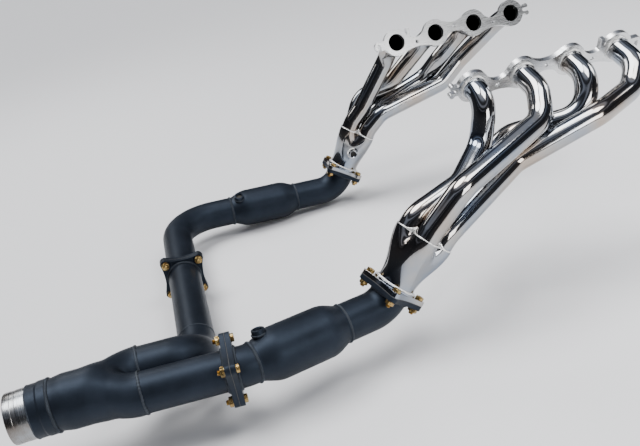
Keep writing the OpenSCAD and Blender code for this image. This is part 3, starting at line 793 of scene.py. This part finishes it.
def merge_body():
    """Formed merge: two lobes at the seam, drawn in to one round waist, then flared to the stub."""
    around, rings, tail_rings = 128, 30, 12
    verts = []
    length = SEAM_Y - MERGE_NECK.y
    for shell in (0, 1):
        for i in range(rings + 1):
            t = i / rings
            y = SEAM_Y - length * t
            a, _, b, _ = two_lobes(t)
            mid = (a + b) / 2
            for p in merge_outline(t, around):
                q = p - (p - mid).normalized() * WALL * shell
                verts.append(Vector((q.x, y, q.y)) * MM)
        tail = Vector((OUTLET.x, OUTLET.z)) - Vector((MERGE_NECK.x, MERGE_NECK.z))
        for i in range(1, tail_rings + 1):
            t = i / tail_rings
            y = MERGE_NECK.y + (OUTLET.y - MERGE_NECK.y) * t
            s = max(0, (t - 0.45) / 0.55)
            r = MERGE_NECK_R - (MERGE_NECK_R - STUB_R + 0.8) * s * s * (3 - 2 * s) - WALL * shell
            c = Vector((MERGE_NECK.x, MERGE_NECK.z)) + tail * t
            for j in range(around):
                a = 2 * pi * j / around
                verts.append(Vector((c.x + r * cos(a), y, c.y + r * sin(a))) * MM)
    make("y_merge_formed", verts, shell_faces(rings + 1 + tail_rings, around), "black_coating",
         ("y_merge",), sharp=60)


def seam_bead():
    """Rough bead where both inlets meet the merge body."""
    around, across = 540, 9
    outline = merge_outline(0, around)
    a, _, b, _ = two_lobes(0)
    mid = (a + b) / 2
    verts = []
    for i, p in enumerate(outline):
        out = (p - mid).normalized()
        puddle = 1 - 0.3 * (2 * ((i / 7) % 1) - 1) ** 2
        drift = noise.noise(Vector((p.x * 0.06, p.y * 0.06, 3.1)))
        fat = 2.7 * puddle * (1 + 0.3 * drift)
        for j in range(across):
            c = 2 * pi * j / across
            q = p + out * (fat * 0.75 * sin(c) - 0.5)
            verts.append(Vector((q.x, SEAM_Y + 1.0 + fat * cos(c) + 0.9 * drift, q.y)) * MM)
    return make("y_seam_bead", verts, ring_faces(around, across, close=True), "black_coating",
                material=BLACK_WELD, sharp=60)


def y_pipe():
    left, right = joint_point("left"), joint_point("right")
    first = left + (GASKET / 2 + FLANGE) * JOINT_DIR["left"]
    tube("crossover_swept", [first, CROSS_END], 0, PIPE_R, WALL, "black_coating", ("crossover_pipe",),
         around=96)
    elbow = [CROSS_END, *ELBOW_CORNERS, ELBOW_MOUTH]

    def reducer(s):
        t = min(1, max(0, (s - 24) / 50))
        return (PIPE_R - ELBOW_R) * (1 - t * t * (3 - 2 * t))

    tube("crossover_elbow_formed", elbow, ELBOW_BEND, ELBOW_R, WALL, "black_coating", ("crossover_elbow",),
         around=112, swell=reducer, clip_y=SEAM_Y)
    start = right + (GASKET / 2 + FLANGE) * JOINT_DIR["right"]
    tube("right_inlet_swept", [start, inlet_at_seam()], 0, PIPE_R, WALL, "black_coating",
         ("right_inlet_pipe",), around=96, clip_y=SEAM_Y)
    merge_body()
    back = Vector((0, -1, 0))
    at = frame_at(OUTLET, back)
    outer = rounded([(STUB_R - 1, -0.5), (STUB_R + 1.3, 1.5), (STUB_R + 1.3, 16), (STUB_R, 18.5),
                     (STUB_R, STUB_LEN - 1.5), (STUB_R - 1, STUB_LEN - 0.5)], 1.2, 4)
    lathe("outlet_stub_turned", at, outer + [(SLEEVE_IN, STUB_LEN - 0.5), (SLEEVE_IN, -0.5)], "black_coating",
          ("outlet_stub",), around=112)
    z0, z1 = STUB_LEN - 0.5, STUB_LEN - 0.5 + SLEEVE_LEN
    r = SLEEVE_IN + SLEEVE_WALL
    outer = [(r, z0), (r, z0 + 17), (r - 0.35, z0 + 18), (r - 0.35, z1 - 13), (r, z1 - 12),
             (r, z1 - 3), (r - 0.5, z1 - 0.6), (r - 0.9, z1), (SLEEVE_IN + 0.3, z1),
             (SLEEVE_IN, z1 - 0.5), (SLEEVE_IN, z0)]
    lathe("outlet_sleeve_turned", at, outer, "bare_stainless", ("outlet_sleeve",), around=128, sharp=15)
    beads = [
        seam_bead(),
        bead("y_bead_a", frame_at(first + 0.8 * JOINT_DIR["left"], JOINT_DIR["left"]),
             PIPE_R + 0.8, 2.8, "black_coating", BLACK_WELD, seed=11),
        bead("y_bead_b", frame_at(CROSS_END, JOINT_DIR["left"]), PIPE_R - 0.2, 1.3, "black_coating",
             BLACK_WELD, seed=12),
        bead("y_bead_c", frame_at(start + 0.8 * JOINT_DIR["right"], JOINT_DIR["right"]),
             PIPE_R + 0.8, 2.8, "black_coating", BLACK_WELD, seed=13),
        bead("y_bead_d", frame_at(OUTLET + Vector((0, 0.5, 0)), back), STUB_R - 0.2, 2.6, "black_coating",
             BLACK_WELD, seed=14),
        bead("y_bead_e", frame_at(OUTLET + Vector((0, 0.8 - STUB_LEN, 0)), back), r + 0.6, 1.7,
             "black_coating", BLACK_WELD, seed=15),
    ]
    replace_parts(join("y_beads", beads), "y_pipe_welds")


# --------------------------------------------------------------- whole object

for bank in ("left", "right"):
    eased(f"{bank}_head_flange", "flange_stainless", 0.8)
    primary_tubes(bank)
    port_welds(bank)
    collector(bank)
    collector_weld(bank)
    neck_ring(bank)
    side = around_flow(FLOW[bank], HEADER_BUNG[bank])
    foot = NECK[bank] - BUNG_BACK * FLOW[bank]
    threaded_boss(f"{bank}_header_boss", f"{bank}_header_o2_bung", foot + 42 * side, side,
                  "polished_stainless")
    wall = collector_section(bank, -BUNG_BACK)(radians(HEADER_BUNG[bank]))
    bead(f"{bank}_header_boss_bead", frame_at(foot + (wall + 0.3) * side, side), BUNG_R + 0.8, 2.3,
         "bright_weld", seed=6)
    eased(f"{bank}_collector_flange", "polished_stainless", 0.6)
    eased(f"{bank}_cat_inlet_flange", "black_coating", 0.7)
    eased(f"{bank}_cat_outlet_flange", "black_coating", 0.7)
    fasten(f"{bank}_header", NECK[bank] + RING * FLOW[bank], FLOW[bank], NECK_BOLTS[bank],
           f"{bank}_header_bolts", f"{bank}_header_nuts")
    fasten(f"{bank}_y", joint_point(bank) - JOINT / 2 * JOINT_DIR[bank], JOINT_DIR[bank],
           JOINT_BOLTS[bank], f"{bank}_y_bolts", f"{bank}_y_nuts")
    cat_pipe(bank)
    for node, slot in ((f"{bank}_header_gasket", "gasket_composite"),
                       (f"{bank}_y_gasket", "gasket_composite"),
                       (f"{bank}_cat_substrate", "catalyst_ceramic"),
                       (f"{bank}_cat_mat", "mounting_mat")):
        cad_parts[node].data.materials.clear()
        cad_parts[node].data.materials.append(MATERIALS[slot])
eased("crossover_inlet_flange", "black_coating", 0.7)
eased("right_inlet_flange", "black_coating", 0.7)
y_pipe()


# ------------------------------------------------- floor, light and camera

def studio(low):
    bpy.ops.mesh.primitive_plane_add(size=60, location=(0, 0, low - 0.003))
    floor = bpy.context.object
    floor.name = "floor"
    mat, tree, bsdf = shader("pale_floor", 0.0, 0.85, (0.86, 0.86, 0.87))
    floor.data.materials.append(mat)
    world = bpy.data.worlds.new("studio")
    bpy.context.scene.world = world
    world.use_nodes = True
    nodes, links = world.node_tree.nodes, world.node_tree.links
    coords = nodes.new("ShaderNodeTexCoord")
    split = nodes.new("ShaderNodeSeparateXYZ")
    links.new(coords.outputs["Generated"], split.inputs["Vector"])
    sky = nodes.new("ShaderNodeValToRGB")
    stops = ((0.44, 0.03), (0.51, 0.02), (0.53, 0.30), (0.55, 0.02), (0.62, 0.04), (0.65, 0.45),
             (0.69, 0.45), (0.72, 0.04), (0.80, 0.10), (0.86, 0.60))
    sky.color_ramp.elements[0].color = (0.10, 0.10, 0.11, 1)
    sky.color_ramp.elements[1].color = (0.80, 0.80, 0.82, 1)
    for at, grey in stops:
        sky.color_ramp.elements.new(at).color = (0.9 * grey, grey, 1.25 * grey, 1)
    links.new(split.outputs["Z"], sky.inputs["Fac"])
    links.new(sky.outputs["Color"], nodes["Background"].inputs["Color"])
    nodes["Background"].inputs["Strength"].default_value = 0.75
    for name, at, aim, size, power in (
        ("key", (0.9, 0.5, 2.2), (0.2, -0.2, -0.2), 1.1, 34),
        ("face", (3.0, 0.75, 0.75), (-0.2, 0.1, 0), 1.3, 40),
        ("left", (-2.0, -1.4, 1.6), (0, -0.3, -0.2), 1.0, 20),
        ("rear", (0.2, 2.4, 1.2), (0.1, 0, -0.1), 0.9, 16),
    ):
        light = bpy.data.lights.new(name, "AREA")
        light.shape, light.size, light.energy = "SQUARE", size, power
        obj = bpy.data.objects.new(name, light)
        obj.location = at
        obj.rotation_mode = "QUATERNION"
        obj.rotation_quaternion = (Vector(aim) - Vector(at)).to_track_quat("-Z", "Y")
        bpy.context.scene.collection.objects.link(obj)
    sun = bpy.data.lights.new("sun", "SUN")
    sun.energy, sun.angle = 3.0, radians(35)
    obj = bpy.data.objects.new("sun", sun)
    obj.rotation_euler = (radians(14), radians(-10), 0)
    bpy.context.scene.collection.objects.link(obj)


def photo_camera():
    """Camera from behind the right rear corner, above the object and rolled clockwise."""
    azimuth, elevation, roll = radians(78.19), radians(26.92), radians(-11.52)
    back = Vector((sin(azimuth) * cos(elevation), -cos(azimuth) * cos(elevation), sin(elevation)))
    right = Vector((cos(azimuth), sin(azimuth), 0))
    up = back.cross(right)
    x, y = cos(roll) * right + sin(roll) * up, cos(roll) * up - sin(roll) * right
    data = bpy.data.cameras.new("camera")
    data.lens, data.sensor_width = 39.68, 36
    cam = bpy.data.objects.new("camera", data)
    cam.rotation_mode = "QUATERNION"
    cam.rotation_quaternion = Matrix((x, y, back)).transposed().to_quaternion()
    cam.location = Vector((1509.35, -633.18, 458.93)) * MM
    bpy.context.scene.collection.objects.link(cam)
    bpy.context.scene.camera = cam


studio(cad_box[0].z)
photo_camera()
